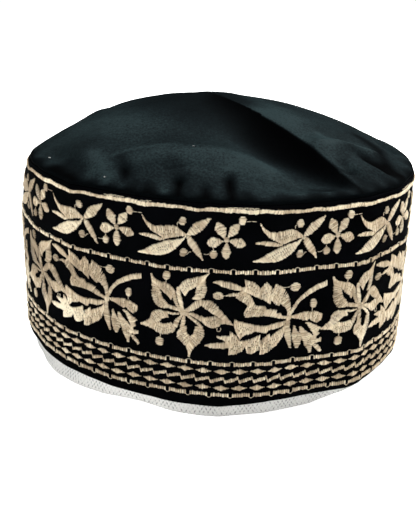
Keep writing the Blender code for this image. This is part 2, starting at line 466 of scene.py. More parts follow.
# The white sweatband tape inside the rim. Its lower edge is tucked up on the right and flares in places, by run
tapeCloth = {
    "around": 360,
    "up": 36,
    "section": (
        (-2.75, 0.5), (-2.75, 25.6), (-3.0, 26.0), (-4.0, 26.0), (-4.25, 25.6),
        (-4.25, 0.5), (-4.0, 0.05), (-3.5, 0.0), (-3.0, 0.05), (-2.75, 0.5),
    ),
    "steps": (0, 14, 15, 17, 18, 32, 33, 34, 35, 36),
    "raised": (
        (-200, 0.6), (-110, 0.0), (-49, 0.0), (-43, 0.7), (-36, 1.3), (-30, 1.3), (-24, 0.3),
        (-18, 0.0), (7, 0.0),
        (17, 0.8), (28, 0.9), (40, 1.2), (51, 1.6), (57, 3.3), (64, 5.6), (72, 6.4), (90, 7.0), (106, 5.0),
        (130, 3.0), (165, 0.6), (200, 0.6),
    ),
    "flared": (
        (-125, 0.0), (-104, 0.3), (-92, 1.6), (-80, 2.9), (-68, 2.8), (-56, 1.1), (-44, 0.0), (-24, 0.0),
        (-14, 0.9), (-5, 1.2), (7, 1.3), (13, 0.5), (22, 0.0),
    ),
}


def tapePlace(u, v):
    out, height = np.array(tapeCloth["section"]).T
    stops = np.array(tapeCloth["steps"]) / tapeCloth["up"]
    run = (u - 0.5) * girth
    out, height = np.interp(v, stops, out), np.interp(v, stops, height)
    out = out + np.interp(run, *np.array(tapeCloth["flared"]).T) * np.clip(1 - height / 3.4, 0, 1)
    places = onBand(run, height, out)
    places[:, 2] += np.interp(run, *np.array(tapeCloth["raised"]).T) * np.clip(1 - height / 14, 0, 1) * mm
    return places


def tapeMap(u, v):
    out, height = np.array(tapeCloth["section"]).T
    stops = np.array(tapeCloth["steps"]) / tapeCloth["up"]
    length = np.concatenate([[0], np.cumsum(np.hypot(np.diff(out), np.diff(height)))])
    return u * girth * mm, np.interp(v, stops, length) * mm


tapePiece = wrapSheet("sweatbandTape", tapeCloth["around"], tapeCloth["up"], tapePlace, tapeMap, True)
dress(tapePiece, tapeMaterial, "tape_cloth", "sweatband")
print("tape made")


# The crown: a soft dome gathered into the band, with the crease and folds it was stored with.
# Folds are in mm as the photograph sees them, x to its right and y away from it: points along the fold,
# then its half width and its height.
crownCloth = {
    "around": 360,
    "up": 104,
    "wall": 0.9,
    "rise": 24.2,
    "power": 1.8,
    "skirt": ((-0.9, 93.9), (-0.6, 94.6), (-0.9, 95.4), (-2.2, 96.3)),
    "creaseAngle": 66.3,
    "creaseDrop": 17.0,
    "creaseEdge": 8.5,
    "creaseRecovery": 20.0,
    "creaseMiddle": 55.0,
    "creaseHalf": 52.0,
    "creaseBend": 2.3,
    "folds": (
        (((-62, -40), (-47, -60), (-27, -60), (-2, -57), (19, -62), (38, -71)), 9.0, 2.0),
        (((-42, -44), (-14, -46), (6, -44), (22, -50)), 7.0, -0.7),
        (((-57, -54), (-51, -66), (-43, -77)), 6.5, 2.1),
        (((-74, -36), (-68, -50), (-58, -66)), 10.5, -3.6),
        (((-50, -14), (-32, -34), (-22, -46)), 10.0, 0.8),
        (((12, -36), (30, -54), (44, -67), (53, -72)), 8.0, -1.4),
        (((34, -14), (50, -36), (60, -46)), 12.0, 1.0),
        (((46, -43), (56, -38), (64, -35), (73, -30)), 4.5, 2.0),
        (((52, -29), (66, -26), (84, -24)), 6.0, -1.6),
        (((68, -40), (76, -43), (82, -44)), 4.5, -2.4),
        (((53.5, -59.5), (61.5, -56.5)), 1.1, -0.8),
        (((62, -54), (72, -52)), 4.0, 1.1),
        (((-37, -79), (-37, -68)), 2.4, -1.2),
        (((-27, -85), (-27, -78)), 2.2, -1.5),
        (((-14, -89), (-14, -76)), 2.3, -2.2),
        (((-2, -91), (-3, -81)), 2.3, -1.9),
        (((8, -91), (6, -74)), 2.1, -2.0),
        (((64, -64), (56, -54)), 3.0, -1.0),
        (((-19, -69), (-10, -67), (1, -70), (14, -72), (25, -75), (38, -75)), 1.1, -0.35),
        (((-68, 0), (-50, 22)), 13.0, 1.5),
        (((-36, 28), (-28, 32)), 13.0, 0.4),
        (((38, 22), (56, 8)), 15.0, 0.7),
        (((-58, 8), (-53, 4)), 7.0, 1.5),
        (((-4, 9), (4, 9)), 9.0, 1.1),
        (((82, 14), (86, -6)), 6.0, -3.4),
    ),
    # Painted shadow below the ridge: how far it reaches across, by distance along the ridge. Then the painted light and
    # shade of the cloth: its level, and strokes charted like the folds, above 0 painted light and below 0 painted
    # shade.
    "shadeReach": (
        (-14, -4), (0, 8), (20, 13.5), (40, 17), (50, 15.5), (60, 12), (70, 8.5), (80, 5.5), (92, 2),
    ),
    "paintedLightingLevel": 0.50,
    "paintedLightAndShade": (
        (((-20, 8), (-10, -8), (5, 0)), 24.0, -0.28),
        (((-59, -16), (-47, -20), (-34, -33)), 13.0, 0.24),
        (((-23, -59), (-3, -59), (12, -59), (24, -63)), 4.5, 0.30),
        (((-8, -63), (8, -65)), 7.0, 0.13),
        (((-33, -62), (-24, -60)), 3.5, 0.14),
        (((13, -67), (25, -71), (38, -75)), 9.0, 0.16),
        (((-52, -55), (-45, -69), (-38, -76)), 3.2, 0.30),
        (((-40, -60), (-36, -69), (-33, -77)), 3.2, -0.20),
        (((-16, -66), (-13, -72)), 4.5, -0.14),
        (((-68, -54), (-62, -64), (-55, -74)), 5.5, -0.48),
        (((21, -18), (32, -28), (40, -39), (46, -43)), 7.0, 0.36),
        (((46, -32), (54, -33), (63, -31), (69, -28)), 3.6, 0.34),
        (((54, -42), (62, -46)), 5.0, 0.10),
        (((68, -13), (77, -20), (77, -33), (78, -39)), 3.6, -0.40),
        (((61, -40), (55, -47)), 4.0, -0.12),
        (((-21, -82), (-16, -86)), 2.4, 0.22),
        (((8, -71), (8, -84)), 1.9, -0.26),
        (((13, -83), (15, -86)), 2.2, -0.26),
        (((-9, -80), (-10, -87)), 2.2, -0.18),
        (((42, -71), (50, -69)), 3.0, -0.30),
        (((50, -40), (55, -35), (62, -31), (69, -28)), 3.4, 0.40),
        (((-9, -68), (0, -69), (6, -68)), 4.0, 0.13),
        (((-25, -58), (-20, -58)), 5.0, -0.10),
        (((6, 22), (14, 14), (25, -6), (35, -20)), 7.5, 0.26),
        (((-43, -59), (-37, -56), (-32, -55), (-24, -55), (-17, -54)), 1.5, 0.22),
        (((-51, -68), (-43, -76), (-36, -79)), 4.5, 0.22),
        (((51, -52), (57, -57)), 4.5, 0.16),
        (((64, -29), (69, -32)), 3.6, 0.20),
    ),
    "gathers": 52,
    "gatherDepth": 0.55,
    "gatherFade": 9.0,
}


def nearLine(x, y, points):
    # distance to a line of points, and 1 along it falling to 0 past its ends
    best = np.full(x.shape, 1e9)
    for (x1, y1), (x2, y2) in zip(points, points[1:]):
        dx, dy = x2 - x1, y2 - y1
        share = np.clip(((x - x1) * dx + (y - y1) * dy) / (dx * dx + dy * dy), 0, 1)
        best = np.minimum(best, np.hypot(x - x1 - share * dx, y - y1 - share * dy))
    return best


def creaseFrame(x, y):
    # how far out along the ridge, and how far from it: below 0 on the steep side
    turn = math.radians(crownCloth["creaseAngle"])
    along = x * math.sin(turn) - y * math.cos(turn)
    bend = crownCloth["creaseBend"] * np.exp(-(((along + 12) / 32) ** 2))
    return along, x * math.cos(turn) + y * math.sin(turn) - bend


def creaseHeight(x, y):
    along, across = creaseFrame(x, y)
    across = np.minimum(across, 0)
    depth = crownCloth["creaseDrop"] * np.exp(-(((along - crownCloth["creaseMiddle"]) / crownCloth["creaseHalf"]) ** 2))
    sharp = 1 - np.exp(across / crownCloth["creaseEdge"])
    return -depth * sharp * np.exp(across / crownCloth["creaseRecovery"])


def chartHeight(x, y, strokes):
    # strokes are charted as the photo shows them, x to the right and y away from the camera
    turn = math.radians(plan["frontAngle"])
    seenX, seenY = x * math.cos(turn) + y * math.sin(turn), -x * math.sin(turn) + y * math.cos(turn)
    total = np.zeros(x.shape)
    for points, halfWidth, height in strokes:
        total = total + height * np.exp(-((nearLine(seenX, seenY, points) / halfWidth) ** 2))
    return total


def foldHeight(x, y):
    return creaseHeight(x, y) + chartHeight(x, y, crownCloth["folds"])


def paintedLightingAt(x, y):
    # painted light and shade: the cloth is painted lighter where it stands up and along charted strokes, and painted
    # deep black as shade in folds, under the ridge and along the seam
    along, across = creaseFrame(x, y)
    reach = np.interp(along, *np.array(crownCloth["shadeReach"]).T)
    soft = np.interp(along, (20, 60), (4.2, 1.6))
    # painted shadow down the steep side below the ridge
    wall = np.where(across < 0, 1 / (1 + np.exp(np.clip((-across - reach) / soft, -30, 30))), 0)
    folds = chartHeight(x, y, [fold for fold in crownCloth["folds"] if fold[1] < 6])
    shade = crownCloth["paintedLightingLevel"] + 0.24 * np.minimum(folds, 0) + chartHeight(x, y, crownCloth["paintedLightAndShade"])
    # painted shade along the seam, wider where the cloth puckers
    angle = np.degrees(np.arctan2(x, -y))
    inward = outerRadius(angle, plan["bandTop"]) - np.hypot(x, y)
    pucker = 0.5 + 0.5 * np.sin(46 * np.radians(angle) + 3 * np.sin(5 * np.radians(angle)))
    seam = np.exp(-((inward / (1.6 + 3.2 * pucker)) ** 2))
    return np.clip(shade, 0, 1) * (1 - 0.985 * wall) * (1 - 0.9 * seam)


def crownPlace(u, v):
    # v: 0 at the bottom of the skirt, 0.06 at the seam, 1 at the middle of the dome
    run = (u - 0.5) * girth
    angle = angleAt(run)
    turn = np.radians(angle)
    skirtOut, skirtUp = np.array(crownCloth["skirt"]).T
    skirtShare = np.clip(v / 0.06, 0, 1)
    out = np.interp(skirtShare, np.linspace(0, 1, 4), skirtOut)
    height = np.interp(skirtShare, np.linspace(0, 1, 4), skirtUp)
    share = 1 - np.clip((v - 0.06) / 0.94, 0, 1)
    share = share ** 0.85
    edge = outerRadius(angle, plan["bandTop"]) + clothUnevenness(run, plan["bandTop"])
    radius = (edge + out) * np.where(v < 0.06, 1, share)
    x, y = radius * np.sin(turn), -radius * np.cos(turn)
    free = np.clip((1 - share) / 0.10, 0, 1)
    free = free * free * (3 - 2 * free)
    dome = crownCloth["rise"] * (1 - share ** crownCloth["power"]) + free * foldHeight(x, y)
    wander = 1.3 * np.sin(3 * turn + 1.0) + 1.9 * np.sin(7 * turn + 2.2) + 0.8 * np.sin(16 * turn)
    inward = (1 - share) * 90
    strength = 0.65 + 0.35 * np.sin(5 * turn + 0.7)
    ripple = np.sin(crownCloth["gathers"] * turn + wander + inward * 0.05)
    gather = crownCloth["gatherDepth"] * strength * ripple * np.exp(-inward / crownCloth["gatherFade"])
    dome = dome + gather * np.clip(inward / 2.5, 0, 1)
    short = np.maximum(0.5 - dome, 0)
    dome = np.maximum(dome, 0.5) - short / (1 + short / 1.8)  # the crease stays above the band's edge
    up = plan["lift"] - plan["slumpDown"] * slump(angle, plan["bandTop"]) * share**3
    return np.stack([x, y, height + np.where(v < 0.06, 0, dome) + up], axis=-1) * mm


def crownMap(u, v):
    return u * girth * mm, v * 105 * mm


def makeCrown():
    piece = wrapSheet("crownCloth", crownCloth["around"], crownCloth["up"], crownPlace, crownMap, False)
    wall = piece.modifiers.new("wall", "SOLIDIFY")
    wall.thickness = crownCloth["wall"] * mm
    wall.offset = -1
    wall.use_rim = True
    bpy.ops.object.modifier_apply(modifier=wall.name)
    places = np.empty(len(piece.data.vertices) * 3)
    piece.data.vertices.foreach_get("co", places)
    x, y, z = places.reshape(-1, 3).T / mm
    # painted light and shade on the vertices; the cloth below the seam is painted dark
    paintedLighting = piece.data.attributes.new("paintedLighting", "FLOAT", "POINT")
    paintedLighting.data.foreach_set("value", np.where(z > 95.5 + plan["lift"], paintedLightingAt(x, y), 0.1))
    return piece


crownPiece = makeCrown()
dress(crownPiece, crownMaterial, "crown_cloth", "crown")

# white specks of lint caught in the nap: where, length and width in mm, turn in degrees
lint = (
    (-74, -38, 1.3, 0.55, 20),
    (-45, -71, 1.2, 0.55, 80),
    (-9, -56, 1.2, 0.13, 15),
)


def makeLint():
    turn = math.radians(plan["frontAngle"])
    places = np.array([point.co for point in crownPiece.data.vertices]) / mm
    deselectAll()
    specks = []
    for x, y, long, wide, angle in lint:
        spot = np.array([x * math.cos(turn) - y * math.sin(turn), x * math.sin(turn) + y * math.cos(turn)])
        near = np.argsort(np.hypot(*(places[:, :2] - spot).T))[:8]
        height = places[near, 2].max() + 0.12
        middle = (*(spot * mm), height * mm)
        bpy.ops.mesh.primitive_ico_sphere_add(subdivisions=1, radius=0.5 * mm, location=middle)
        speck = bpy.context.object
        speck.scale = (long, wide, wide * 0.8)
        speck.rotation_euler.z = math.radians(angle)
        specks.append(speck)
    for speck in specks:
        speck.select_set(True)
    bpy.ops.object.join()
    bpy.ops.object.transform_apply(location=True, rotation=True, scale=True)
    piece = bpy.context.object
    piece.name = "lintSpecks"
    return piece


dress(makeLint(), tapeMaterial, "crown_cloth")
print("crown made")


# Embroidery. A stitch is a thin closed spindle; thousands are gathered in a list and made one mesh.
stitchLook = {
    "pitch": 0.46,
    "halfWidth": 0.25,
    "arch": 0.42,
    "sink": 0.10,
    "endJitter": 0.24,
    "toneSpread": 0.20,
    "ribs": 0.07,
    "longest": 2.9,
    "endShade": 0.75,
    "brighter": 0.02,
}

# where the rings of a spindle stand along it, how wide they are, and how far it has risen there
spindleRings = ((0.16, 0.92, 0.85), (0.84, 0.92, 0.85))
spindleCorners = ((1, -0.5), (0, 1), (-1, -0.5))


def spindleFaces():
    faces = [(0, 1 + (i + 1) % 3, 1 + i) for i in range(3)]
    for i in range(3):
        j = (i + 1) % 3
        faces += [(1 + i, 1 + j, 4 + j), (1 + i, 4 + j, 4 + i)]
    faces += [(7, 4 + i, 4 + (i + 1) % 3) for i in range(3)]
    return np.array(faces)


def stitchBatch(starts, ends, halfWidth, arch, tone):
    # all stitches of one shape: starts and ends are (run, z) in mm, tone one number a stitch
    return {"starts": starts, "ends": ends, "width": halfWidth, "arch": arch, "tone": tone}


# painted highlights and painted shade on the thread, where it would turn towards or away from the window: run, z, half
# sizes along and up, change of tone
gleams = (
    (-108, 72, 24, 30, -0.55),
    (-100, 52, 14, 12, -0.44),
    (-45, 34, 8, 12, -0.16),
    (-2, 80, 22, 7, 0.12),
    (85, 78, 8, 8, -0.20),
    (-70, 51, 9, 9, -0.56),
    (-54, 54, 8, 9, -0.40),
    (-84, 37, 6, 8, -0.70),
    (76, 66, 9, 9, -0.42),
    (-70, 33, 11, 9, 0.80),
    (-113, 36, 7, 8, 0.50),
    (74, 34, 3.5, 8, 0.44),
    (84, 14, 34, 9, -0.36),
    (8, 92, 40, 3, 0.10),
    (38, 64, 26, 5, 0.14),
    (92, 52, 16, 12, -0.16),
    (-2, 14, 60, 9, -0.07),
)


def gleamAt(places):
    total = np.full(len(places), stitchLook["brighter"])
    for run, z, along, up, change in gleams:
        total += change * np.exp(-(((places[:, 0] - run) / along) ** 2) - ((places[:, 1] - z) / up) ** 2)
    return total


def makeStitches(name, batches):
    starts = np.concatenate([batch["starts"] for batch in batches])
    ends = np.concatenate([batch["ends"] for batch in batches])
    width = np.concatenate([np.full(len(batch["starts"]), batch["width"]) for batch in batches])
    arch = np.concatenate([np.full(len(batch["starts"]), batch["arch"]) for batch in batches])
    # painted highlights and shade are added to each stitch's tone here
    tone = np.concatenate([batch["tone"] for batch in batches]) + gleamAt(starts)
    along = ends - starts
    length = np.maximum(np.hypot(along[:, 0], along[:, 1]), 0.05)
    side = np.stack([-along[:, 1], along[:, 0]], axis=1) / length[:, None]
    rise = arch * np.clip(0.55 + length / 6, 0.6, 1.15)
    count = len(starts)
    points = np.empty((count, 8, 3))
    points[:, 0, :2], points[:, 7, :2] = starts, ends
    points[:, 0, 2] = points[:, 7, 2] = -stitchLook["sink"]
    for ring, (share, wide, high) in enumerate(spindleRings):
        for corner, (across, upward) in enumerate(spindleCorners):
            row = 1 + 3 * ring + corner
            points[:, row, :2] = starts + along * share + side * (across * wide * width)[:, None]
            points[:, row, 2] = rise * high + upward * np.minimum(width * 0.9, 0.3) * wide - stitchLook["sink"]
    places = onBand(points[..., 0].ravel(), points[..., 1].ravel(), points[..., 2].ravel())
    faces = (spindleFaces()[None] + 8 * np.arange(count)[:, None, None]).reshape(-1, 3)
    mesh = bpy.data.meshes.new(name)
    mesh.vertices.add(len(places))
    mesh.vertices.foreach_set("co", places.ravel())
    mesh.loops.add(faces.size)
    mesh.loops.foreach_set("vertex_index", faces.ravel())
    mesh.polygons.add(len(faces))
    mesh.polygons.foreach_set("loop_start", np.arange(0, faces.size, 3))
    mesh.polygons.foreach_set("use_smooth", np.ones(len(faces), bool))
    mesh.update(calc_edges=True)
    tones = mesh.attributes.new("tone", "FLOAT", "POINT")
    # painted shade: each stitch is darker at its two ends, where it goes into the cloth
    shades = np.array((stitchLook["endShade"], *[0] * 6, stitchLook["endShade"]))
    tones.data.foreach_set("value", np.clip(tone[:, None] - shades, 0, 1).ravel())
    piece = bpy.data.objects.new(name, mesh)
    bpy.context.scene.collection.objects.link(piece)
    dress(piece, threadMaterial, "band_cloth")
    print(name, count, "stitches,", len(faces), "triangles")
    return piece


def alongRail(rail, travel, places):
    return np.stack([np.interp(places, travel, column) for column in rail.T], axis=-1)


def smoothLine(points, fineness=8):
    # a soft curve through the points
    points = np.asarray(points, float)
    if len(points) < 3:
        return points
    padded = np.concatenate([[2 * points[0] - points[1]], points, [2 * points[-1] - points[-2]]])
    t = np.linspace(0, 1, fineness, endpoint=False)[:, None]
    parts = []
    for p0, p1, p2, p3 in zip(padded, padded[1:], padded[2:], padded[3:]):
        square, cube = 2 * p0 - 5 * p1 + 4 * p2 - p3, 3 * p1 - p0 - 3 * p2 + p3
        parts.append((2 * p1 + (p2 - p0) * t + square * t**2 + cube * t**3) / 2)
    return np.concatenate(parts + [points[-1:]])


def shortLengths(starts, ends, shades):
    # a long stitch is laid in short lengths, set off from row to row
    pieces = []
    for row, (start, end, shade) in enumerate(zip(starts, ends, shades)):
        length = math.hypot(*(end - start))
        parts = max(1, int(round(length / stitchLook["longest"])))
        shifts = 0.5 * (row % 2) - 0.25 + dice.uniform(-0.2, 0.2, parts)
        cuts = [0.0] + [(k + shifts[k]) / parts for k in range(1, parts)] + [1.0]
        lap = 0.12 / max(length, 0.5)
        for first, last in zip(cuts, cuts[1:]):
            first, last = max(first - lap, 0), min(last + lap, 1)
            pieces.append((start + (end - start) * first, start + (end - start) * last, shade))
    firsts, lasts, tones = zip(*pieces)
    return np.array(firsts), np.array(lasts), np.array(tones)


def satin(left, right, tone=0.5, pitch=None, slant=0.0, soft=True, arch=None, thick=None):
    # satin stitches from one rail to the other, point for point. slant shifts their ends along the rails in
    # opposite ways, and soft rounds the rails
    pitch = pitch or stitchLook["pitch"]
    left, right = np.asarray(left, float), np.asarray(right, float)
    if soft:
        left, right = smoothLine(left), smoothLine(right)
    middle = (left + right) / 2
    travel = np.concatenate([[0], np.cumsum(np.hypot(*np.diff(middle, axis=0).T))])
    count = max(3, int(round(travel[-1] / pitch)))
    shares = (np.arange(count) + 0.5) / count * travel[-1]
    starts = alongRail(left, travel, shares - slant * travel[-1])
    ends = alongRail(right, travel, shares + slant * travel[-1])
    along = ends - starts
    span = np.maximum(np.hypot(along[:, 0], along[:, 1]), 0.1)[:, None]
    reach = dice.uniform(-1, 1, (2, count, 1)) * stitchLook["endJitter"] + 0.06
    starts, ends = starts - along / span * reach[0], ends + along / span * reach[1]
    # painted shade and light: stitches are lighter and darker in turn, so the ribs show
    shades = tone + stitchLook["ribs"] * np.where(np.arange(count) % 2, 1, -1)
    starts, ends, shades = shortLengths(starts, ends, shades)
    shades = shades + dice.normal(0, 1, len(shades)) * stitchLook["toneSpread"]
    return stitchBatch(starts, ends, thick or stitchLook["halfWidth"], arch or stitchLook["arch"], shades)


def leafShape(root, tip, width, bow=0.0, fat=0.5, tone=0.5, slant=0.0, blunt=0.0):
    # a petal or leaf: bow bends its middle to the left, fat is where it is widest, blunt rounds its tip
    root, tip = np.array(root, float), np.array(tip, float)
    along = tip - root
    side = np.array([-along[1], along[0]]) / np.hypot(*along)
    t = np.linspace(0, 1, 24)
    spine = root + along * t[:, None] + side * (bow * 4 * t * (1 - t))[:, None]
    power = math.log(0.5) / math.log(fat)
    swell = np.sin(math.pi * t**power) ** (1 - 0.45 * blunt) * width / 2 + 0.12
    return satin(spine + side * swell[:, None], spine - side * swell[:, None], tone, slant=slant, soft=False)


def dotShape(centre, width, tone=0.5, tall=1.0):
    t = np.linspace(-0.97, 0.97, 14)
    skew, bulge = dice.uniform(-0.3, 0.3), dice.uniform(0.46, 0.6)
    half = (1 - np.abs(t) ** 2.1) ** bulge * width / 2
    left = np.stack([centre[0] - half + skew * t, centre[1] + t * width * tall / 2], axis=-1)
    right = np.stack([centre[0] + half + skew * t, centre[1] + t * width * tall / 2], axis=-1)
    return satin(left, right, tone, soft=False, arch=0.6)


def threadShape(points, tone=0.62, halfWidth=0.15):
    # a running thread: short stitches end to end
    points = np.asarray(points, float)
    return stitchBatch(points[:-1], points[1:], halfWidth, 0.30, np.full(len(points) - 1, tone))


def moved(batch, run, z=0.0, mirrored=False):
    shift = np.array([run, z])
    return dict(batch, starts=batch["starts"] + shift, ends=batch["ends"] + shift)


# The satin cord along the band's upper edge
topBorder = {
    "z": 91.2,
    "tall": 1.85,
    "pitch": 0.5,
    "wobble": 0.30,
    "clump": 3.1,
    "strays": ((-47, -38), (3, 18), (-30, -26), (96, 104), (160, 172)),
}


def makeTopBorder():
    count = int(round(girth / topBorder["pitch"]))
    run = (np.arange(count) / count - 0.5) * girth
    turn = 2 * math.pi * run / girth
    drift = np.sin(29 * turn + 0.5) + 0.7 * np.sin(53 * turn + 2.0) + 0.5 * np.sin(11 * turn)
    middle = topBorder["z"] + topBorder["wobble"] * drift / 1.6 + 0.5 * np.exp(-(((run + 11) / 45) ** 2))
    clump = np.floor(run / topBorder["clump"] + 0.35 * np.sin(17 * turn))
    lump = 0.26 * np.sin(clump * 12.9898) + 0.14 * np.sin(clump * 4.1)
    half = topBorder["tall"] / 2 + 0.6 * lump
    lean = 0.28 + 0.25 * np.sin(clump * 7.31)
    jitter = dice.uniform(-1, 1, (2, count)) * 0.22
    starts = np.stack([run - lean / 2, middle - half + jitter[0]], axis=-1)
    ends = np.stack([run + lean / 2, middle + half + jitter[1]], axis=-1)
    # painted highlight: the taller clumps are lighter, besides a random tone
    tone = 0.56 + 0.7 * lump + dice.normal(0, 1, count) * 0.22
    batches = [stitchBatch(starts, ends, 0.27, 0.60, tone)]
    for first, last in topBorder["strays"]:
        along = np.linspace(first, last, 3 + int((last - first) / 3))
        height = topBorder["z"] + topBorder["tall"] / 2 + 0.5 + 0.06 * np.sin(along)
        batches.append(threadShape(np.stack([along, height], axis=-1), 0.66, 0.11))
        batches.append(threadShape(np.stack([along[1:] + 1.0, height[1:] + 0.36], axis=-1), 0.6, 0.10))
    return makeStitches("topBorder", batches)


makeTopBorder()


# Broken satin lines: a dash, then a small gap with one thread over it. Heights and lengths in mm.
dashLines = {
    "middle": {"z": 65.6, "tall": 1.75, "phase": -8.4, "loops": 1},
    "latticeTop": {"z": 23.8, "tall": 1.8, "phase": -7.2, "loops": 1},
    "bottom": {"z": 9.2, "tall": 1.85, "phase": -7.2, "loops": -1},
    "dashes": 64,
    "gap": 1.35,
}


def dashLine(line):
    pitch = girth / dashLines["dashes"]
    batches = []
    for i in range(dashLines["dashes"]):
        gapAt = line["phase"] + i * pitch
        first, last = gapAt + dashLines["gap"] / 2, gapAt + pitch - dashLines["gap"] / 2
        low, high = line["z"] - line["tall"] / 2, line["z"] + line["tall"] / 2
        tilt = dice.uniform(-0.10, 0.10)
        left = ((first, high - tilt), (last, high + tilt))
        right = ((first, low - tilt), (last, low + tilt))
        tone = 0.50 + dice.uniform(-0.08, 0.08)
        batches.append(satin(left, right, tone, pitch=1.0, soft=False, arch=0.6, thick=0.46))
        side = line["loops"]
        edge = line["z"] + side * line["tall"] / 2
        deep = 0.30 if side > 0 else 0.62
        loop = ((-1.2, -0.25), (-0.62, deep * 0.55), (-0.2, deep), (0.2, deep), (0.62, deep * 0.55), (1.2, -0.25))
        batches.append(threadShape([(gapAt + x, edge + side * y) for x, y in loop], 0.74))
    return batches


makeStitches("dashLinesUpper", dashLine(dashLines["middle"]) + dashLine(dashLines["latticeTop"]))
makeStitches("dashLineLower", dashLine(dashLines["bottom"]))


# The lattice below the flowers: two rows of diamonds with slanted bars between
lattice = {
    "diamonds": 75,
    "diamondPhase": -8.8,
    "diamondWide": 6.3,
    "diamondTall": 2.9,
    "rows": (20.4, 12.6),
    "bars": 94,
    "barPhase": -7.4,
    "barLow": 15.5,
    "barHigh": 17.4,
    "barLong": 6.0,
    "barThick": 1.55,
}


def diamondShape(run, z):
    # upright stitches, close in the middle and apart towards the two points
    t = np.array((-0.93, -0.79, -0.64, -0.48, -0.33, -0.17, 0.0, 0.17, 0.33, 0.48, 0.64, 0.79, 0.93))
    t = t + dice.uniform(-0.02, 0.02, len(t))
    half = (1.04 - np.abs(t)) * lattice["diamondTall"] / 2
    across = run + t * lattice["diamondWide"] / 2
    uneven = dice.uniform(-0.24, 0.24, (2, len(t)))
    tops, feet = z + half + uneven[0], z - half + uneven[1]
    tone = 0.46 + dice.uniform(-0.09, 0.09) + dice.normal(0, 1, len(t)) * stitchLook["toneSpread"]
    return stitchBatch(np.stack([across, tops], axis=-1), np.stack([across, feet], axis=-1), 0.32, 0.5, tone)


def barShape(run):
    low, high = lattice["barLow"], lattice["barHigh"]
    half = lattice["barThick"] / 2
    first, last = run - lattice["barLong"] / 2, run + lattice["barLong"] / 2
    top = ((first - 0.15, low + half), (last - 0.15, high + half))
    under = ((first + 0.15, low - half), (last + 0.15, high - half))
    return satin(top, under, 0.47 + dice.uniform(-0.10, 0.10), pitch=0.95, soft=False, arch=0.6, thick=0.44)


def makeLattice():
    for place, z in zip(("Upper", "Lower"), lattice["rows"]):
        batches = []
        pitch = girth / lattice["diamonds"]
        for i in range(lattice["diamonds"]):
            run = lattice["diamondPhase"] + i * pitch
            batches.append(diamondShape(run, z + dice.uniform(-0.12, 0.12)))
            end = run + lattice["diamondWide"] / 2
            batches.append(threadShape(((end - 0.1, z + 0.1), (end + 0.5, z - 0.1)), 0.45, 0.15))
        makeStitches("diamondRow" + place, batches)
    pitch = girth / lattice["bars"]
    batches = []
    for i in range(lattice["bars"]):
        run = lattice["barPhase"] + i * pitch
        batches.append(barShape(run))
        end = run + lattice["barLong"] / 2
        batches.append(threadShape(((end, lattice["barHigh"] - 0.6), (end + 0.45, lattice["barLow"] - 0.6)), 0.6, 0.2))
    makeStitches("latticeBars", batches)


makeLattice()
print("border, dash lines and lattice made")

# Motifs are charted in mm from their own middle: run to the right, up. A satin row is its two rails.
# The upper row: a tulip lying on its side, then a flower of five petals
# the shapes' tones are painted light and shade: shapes whose stitches lie to catch the light are lighter
tulipTones = {"body": 0.42, "small": 0.48, "long": 0.74, "upper": 0.60, "lower": 0.46, "dots": 0.62}


def tulip():
    body = satin(
        ((-19, 6.7), (-17.3, 4.6), (-15, 3.2), (-12.8, 2.8), (-10.5, 3), (-7.5, 3.5), (-4.5, 3.6),
         (-2.3, 2.2), (0, 0.3)),
        ((-19, 6.3), (-17.5, 3.2), (-15, 0.2), (-12, -1.4), (-9.3, -2.6), (-7, -2.1), (-4.5, -1.4),
         (-2, -0.9), (0, -0.3)),
        tulipTones["body"],
    )
    small = satin(
        ((-20.3, -1.9), (-17, -1.1), (-13.5, -1.2), (-11, -1.9), (-9, -2.4)),
        ((-20.3, -2.3), (-17.5, -2.9), (-14.5, -3.3), (-11.5, -3.6), (-9.2, -2.9)),
        tulipTones["small"],
    )
    long = satin(
        ((0, -0.2), (-2, -1.4), (-6, -2.4), (-10.5, -3.8), (-15, -6.3), (-18, -8.4), (-21, -9.8)),
        ((0, -0.7), (-1.8, -3.6), (-4.4, -6.6), (-8, -9), (-12.5, -10.2), (-17, -10.4), (-21, -10.3)),
        tulipTones["long"],
        slant=-0.02,
    )
    upper = satin(
        ((0, 0.2), (1.1, 2.6), (3, 5.3), (5.8, 6.9), (9.6, 8.1)),
        ((0.4, -0.1), (3.2, 0.1), (6, 2.1), (8.3, 4.7), (9.9, 7.8)),
        tulipTones["upper"],
    )
    lower = satin(
        ((0.1, -0.3), (0.5, -3.2), (2.2, -5.8), (4.3, -8.1), (7, -10.4)),
        ((0.6, -0.1), (2.6, -0.9), (4.6, -3.3), (6.3, -6.3), (7.3, -10.1)),
        tulipTones["lower"],
    )
    dots = [
        dotShape((-1.7, 5.8), 3.5, tulipTones["dots"]),
        threadShape(((-3.2, 5.2), (-4, 4.8), (-3.8, 3.6))),
        dotShape((-0.9, -7.4), 3.5, 0.44),
        threadShape(((0.3, -8.3), (1.0, -7.8), (1.2, -7.1), (2.2, -7))),
        dotShape((11.4, -7.3), 3.5, 0.5),
        threadShape(((7.4, -7.4), (8.4, -7.6), (9.8, -7.2))),
        threadShape(((11.3, -5.8), (11.3, -4.6))),
        dotShape((22.6, 7.4), 3.6, tulipTones["dots"]),
        threadShape(((24.2, 7), (26.2, 7.15), (28.4, 7.2))),
    ]
    return [body, small, long, upper, lower, *dots]


